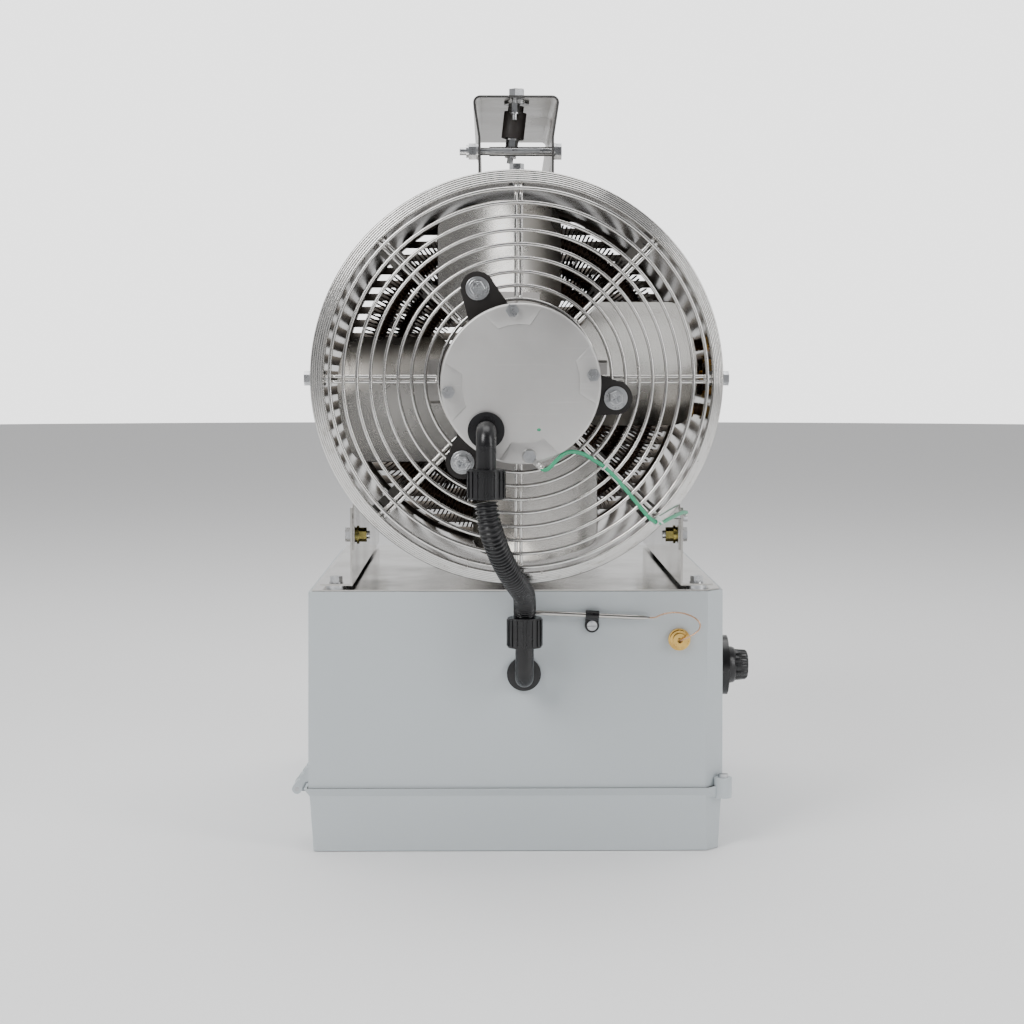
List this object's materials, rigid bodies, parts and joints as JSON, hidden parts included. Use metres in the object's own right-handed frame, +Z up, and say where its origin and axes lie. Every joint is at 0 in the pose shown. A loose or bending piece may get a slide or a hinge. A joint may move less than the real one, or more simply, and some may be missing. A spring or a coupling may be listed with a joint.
{
  "type": "electric greenhouse fan heater",
  "caption": "Fan heater for greenhouses: a steel drum with a wire intake guard, motor, impeller and finned elements above a control box, hung by a top channel.",
  "frame": {"origin": "middle of the flat underside of the control box cover", "axes": "+X to the right seen from the intake side, where the two control knobs are; +Y along the air flow, from the intake guard to the outlet grille; +Z up"},
  "size_m": [0.2974, 0.4519, 0.4887],
  "materials": {
    "polycarbonate": "moulded light blue-grey polycarbonate, satin",
    "gasket_rubber": "black sealing rubber",
    "stainless_sheet": "bright rolled stainless sheet",
    "polished_wire": "electropolished steel wire",
    "zinc_steel": "bright zinc plated steel",
    "yellow_zinc": "yellow passivated zinc",
    "cast_aluminium": "matt pressed aluminium",
    "grey_steel": "plain dark steel",
    "black_bracket": "black painted steel",
    "brown_fins": "heat-browned steel fins",
    "black_plastic": "black moulded nylon",
    "brass": "turned brass",
    "copper_capillary": "drawn copper capillary",
    "earth_green": "green insulation",
    "tinned_terminals": "tinned copper terminals and clear ties",
    "ivory_plastic": "ivory insulating plastic",
    "bobbin_rubber": "black rubber"
  },
  "bodies": {
    "heater": {"control_box_body": "polycarbonate", "cover_hinge_pins": "zinc_steel", "cover_screws": "zinc_steel", "top_plate": "stainless_sheet", "rail_left": "stainless_sheet", "rail_right": "stainless_sheet", "rail_spacers": "zinc_steel", "rail_bolts": "zinc_steel", "drum_ears": "stainless_sheet", "ear_bolts": "zinc_steel", "ear_nuts": "yellow_zinc", "drum_shell": "stainless_sheet", "front_grille": "grey_steel", "guard_face_rings": "polished_wire", "guard_side_rings": "polished_wire", "guard_spokes": "polished_wire", "guard_bolts": "zinc_steel", "motor_can": "grey_steel", "motor_end_cover": "cast_aluminium", "motor_cover_nuts": "zinc_steel", "motor_bracket": "black_bracket", "bracket_fixings": "zinc_steel", "motor_stator": "grey_steel", "motor_bearings": "zinc_steel", "heating_element_outer": "brown_fins", "heating_element_middle": "brown_fins", "heating_element_inner": "brown_fins", "element_brackets": "grey_steel", "limit_thermostat": "brass", "motor_gland_elbow": "black_plastic", "motor_conduit_nut": "black_plastic", "motor_conduit": "black_plastic", "box_conduit_nut": "black_plastic", "box_gland_elbow": "black_plastic", "sensor_bulb": "stainless_sheet", "sensor_clip": "black_plastic", "case_screws": "zinc_steel", "sensor_capillary": "copper_capillary", "capillary_gland": "brass", "earth_wire": "earth_green", "earth_wire_fittings": "tinned_terminals", "thermostat_body": "black_plastic", "selector_switch": "black_plastic", "terminal_block": "ivory_plastic", "supply_gland": "black_plastic", "hanger_channel": "stainless_sheet", "hanger_cross_bolt": "zinc_steel", "hanger_bobbin": "bobbin_rubber", "hanger_top_bolt": "zinc_steel"},
    "cover": {"control_box_cover": "polycarbonate", "cover_gasket": "gasket_rubber"},
    "fan": {"motor_rotor": "grey_steel", "motor_shaft": "zinc_steel", "impeller_spider": "grey_steel", "impeller_blade_1": "stainless_sheet", "impeller_blade_2": "stainless_sheet", "impeller_blade_3": "stainless_sheet", "impeller_blade_4": "stainless_sheet"},
    "thermostat_dial": {"thermostat_knob": "black_plastic"},
    "selector_dial": {"selector_knob": "black_plastic"}
  },
  "joints": [
    {"name": "fan_spin", "type": "hinge", "parent": "heater", "child": "fan", "pos_m": [0.001, -0.11, 0.2995], "axis": [0, 1, 0], "continuous": true},
    {"name": "cover_swing", "type": "hinge", "parent": "heater", "child": "cover", "pos_m": [-0.1419, 0, 0.0369], "axis": [0, 1, 0], "range_deg": [0, 100]},
    {"name": "thermostat_turn", "type": "hinge", "parent": "heater", "child": "thermostat_dial", "pos_m": [0.14, -0.112, 0.1137], "axis": [1, 0, 0], "range_deg": [0, 270]},
    {"name": "selector_turn", "type": "hinge", "parent": "heater", "child": "selector_dial", "pos_m": [0.14, -0.042, 0.105], "axis": [1, 0, 0], "range_deg": [0, 120]}
  ]
}
